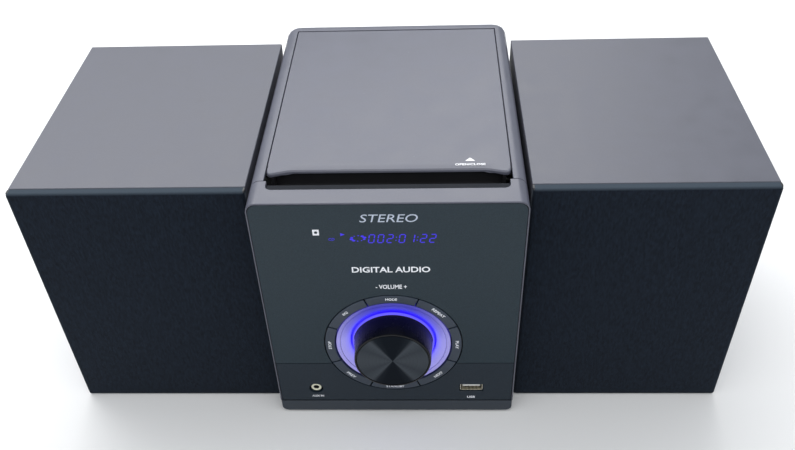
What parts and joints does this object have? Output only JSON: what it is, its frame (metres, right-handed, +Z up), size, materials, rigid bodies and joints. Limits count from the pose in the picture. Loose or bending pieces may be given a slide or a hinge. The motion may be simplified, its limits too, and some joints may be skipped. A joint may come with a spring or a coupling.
{
  "type": "mini hifi system",
  "caption": "Mini hifi set: top-loading disc console with a lit volume dial and key ring, between two boxed speakers with cloth grilles.",
  "frame": {"origin": "on the floor, under the middle of the whole set's bounding box", "axes": "+X to the right as seen from the front, +Z up, the dial and the grilles face -Y"},
  "size_m": [0.4172, 0.223, 0.173],
  "materials": {
    "satin_grey": "satin",
    "gloss_fascia": "gloss",
    "plinth_grey": "satin",
    "black_plastic": "satin",
    "rubber": "matte",
    "light_guide": "translucent, lit blue",
    "spun_metal": "spun, dark anodised",
    "steel": "satin",
    "nickel": "plated",
    "white_plastic": "matte",
    "circuit_board": "satin",
    "grey_vinyl": "fibreboard with a fine-grained grey vinyl wrap",
    "grille_cloth": "woven",
    "paper_cone": "coated paper"
  },
  "bodies": {
    "console": {"base_tray": "plinth_grey", "foot_front_left": "rubber", "foot_front_right": "rubber", "foot_rear_left": "rubber", "foot_rear_right": "rubber", "housing_shell": "satin_grey", "rear_panel": "black_plastic", "front_bezel": "satin_grey", "slot_liner": "black_plastic", "fascia_window": "gloss_fascia", "fascia_lower": "gloss_fascia", "dial_carrier": "black_plastic", "light_ring": "light_guide", "volume_encoder": "nickel", "display_module": "black_plastic", "front_board": "circuit_board", "jack_socket": "black_plastic", "usb_socket": "steel", "disc_deck": "black_plastic", "mech_chassis": "steel", "guide_rod_left": "steel", "guide_rod_right": "steel", "spindle_motor": "steel", "sled_motor": "steel", "lid_damper": "black_plastic", "lid_latch": "black_plastic", "main_board": "circuit_board", "heat_sink": "steel", "transformer": "steel", "ac_inlet": "black_plastic", "speaker_sockets": "black_plastic", "antenna_socket": "nickel"},
    "lid": {"cd_lid": "satin_grey"},
    "clamp": {"disc_clamp": "white_plastic"},
    "damper_gear": {"damper_pinion": "white_plastic"},
    "turntable": {"turntable": "black_plastic"},
    "pickup": {"pickup_sled": "black_plastic"},
    "pickup_gear": {"sled_gear": "steel"},
    "volume": {"volume_knob": "black_plastic", "knob_cap": "spun_metal", "encoder_shaft": "steel"},
    "key_1": {"ring_button_1": "black_plastic"},
    "key_2": {"ring_button_2": "black_plastic"},
    "key_3": {"ring_button_3": "black_plastic"},
    "key_4": {"ring_button_4": "black_plastic"},
    "key_5": {"ring_button_5": "black_plastic"},
    "key_6": {"ring_button_6": "black_plastic"},
    "key_7": {"ring_button_7": "black_plastic"},
    "key_8": {"ring_button_8": "black_plastic"},
    "speaker_left": {"cabinet_left": "grey_vinyl", "driver_basket_left": "steel", "cord_gland_left": "rubber"},
    "grille_left": {"grille_left": "grille_cloth"},
    "cone_left": {"driver_cone_left": "paper_cone"},
    "speaker_right": {"cabinet_right": "grey_vinyl", "driver_basket_right": "steel", "cord_gland_right": "rubber"},
    "grille_right": {"grille_right": "grille_cloth"},
    "cone_right": {"driver_cone_right": "paper_cone"}
  },
  "joints": [
    {"name": "lid_hinge", "type": "hinge", "parent": "console", "child": "lid", "pos_m": [0, 0.0865, 0.17], "axis": [-1, 0, 0], "range_deg": [0, 65]},
    {"name": "damper_turn", "type": "hinge", "parent": "console", "child": "damper_gear", "pos_m": [0.0545, 0.0865, 0.1564], "axis": [-1, 0, 0], "range_deg": [-180, 0]},
    {"name": "clamp_spin", "type": "hinge", "parent": "lid", "child": "clamp", "pos_m": [0, 0.0095, 0.1668], "axis": [0, 0, 1], "continuous": true},
    {"name": "turntable_spin", "type": "hinge", "parent": "console", "child": "turntable", "pos_m": [0, 0.0095, 0.161], "axis": [0, 0, 1], "continuous": true},
    {"name": "pickup_slide", "type": "slide", "parent": "console", "child": "pickup", "axis": [0, -1, 0], "range_m": [0, 0.033]},
    {"name": "pickup_gear_turn", "type": "hinge", "parent": "console", "child": "pickup_gear", "pos_m": [0.0262, -0.0305, 0.1493], "axis": [0, 0, 1], "range_deg": [0, 400]},
    {"name": "volume_turn", "type": "hinge", "parent": "console", "child": "volume", "pos_m": [0, -0.0985, 0.0644], "axis": [0, -1, 0], "continuous": true},
    {"name": "key_1_press", "type": "slide", "parent": "console", "child": "key_1", "axis": [0, 1, 0], "range_m": [0, 0.0008], "stiffness_N_per_m": 600},
    {"name": "key_2_press", "type": "slide", "parent": "console", "child": "key_2", "axis": [0, 1, 0], "range_m": [0, 0.0008], "stiffness_N_per_m": 600},
    {"name": "key_3_press", "type": "slide", "parent": "console", "child": "key_3", "axis": [0, 1, 0], "range_m": [0, 0.0008], "stiffness_N_per_m": 600},
    {"name": "key_4_press", "type": "slide", "parent": "console", "child": "key_4", "axis": [0, 1, 0], "range_m": [0, 0.0008], "stiffness_N_per_m": 600},
    {"name": "key_5_press", "type": "slide", "parent": "console", "child": "key_5", "axis": [0, 1, 0], "range_m": [0, 0.0008], "stiffness_N_per_m": 600},
    {"name": "key_6_press", "type": "slide", "parent": "console", "child": "key_6", "axis": [0, 1, 0], "range_m": [0, 0.0008], "stiffness_N_per_m": 600},
    {"name": "key_7_press", "type": "slide", "parent": "console", "child": "key_7", "axis": [0, 1, 0], "range_m": [0, 0.0008], "stiffness_N_per_m": 600},
    {"name": "key_8_press", "type": "slide", "parent": "console", "child": "key_8", "axis": [0, 1, 0], "range_m": [0, 0.0008], "stiffness_N_per_m": 600},
    {"name": "speaker_left_place", "type": "slide", "parent": "console", "child": "speaker_left", "axis": [-1, 0, 0], "range_m": [0, 0.1]},
    {"name": "grille_left_pull", "type": "slide", "parent": "speaker_left", "child": "grille_left", "axis": [0, -1, 0], "range_m": [0, 0.015]},
    {"name": "cone_left_travel", "type": "slide", "parent": "speaker_left", "child": "cone_left", "axis": [0, 1, 0], "range_m": [-0.0015, 0.0015], "stiffness_N_per_m": 900},
    {"name": "speaker_right_place", "type": "slide", "parent": "console", "child": "speaker_right", "axis": [1, 0, 0], "range_m": [0, 0.1]},
    {"name": "grille_right_pull", "type": "slide", "parent": "speaker_right", "child": "grille_right", "axis": [0, -1, 0], "range_m": [0, 0.015]},
    {"name": "cone_right_travel", "type": "slide", "parent": "speaker_right", "child": "cone_right", "axis": [0, 1, 0], "range_m": [-0.0015, 0.0015], "stiffness_N_per_m": 900}
  ],
  "couplings": [
    {"joint": "damper_turn", "follows": "lid_hinge", "ratio": -2.75},
    {"joint": "pickup_gear_turn", "follows": "pickup_slide", "rad_per_m": 208.33}
  ]
}
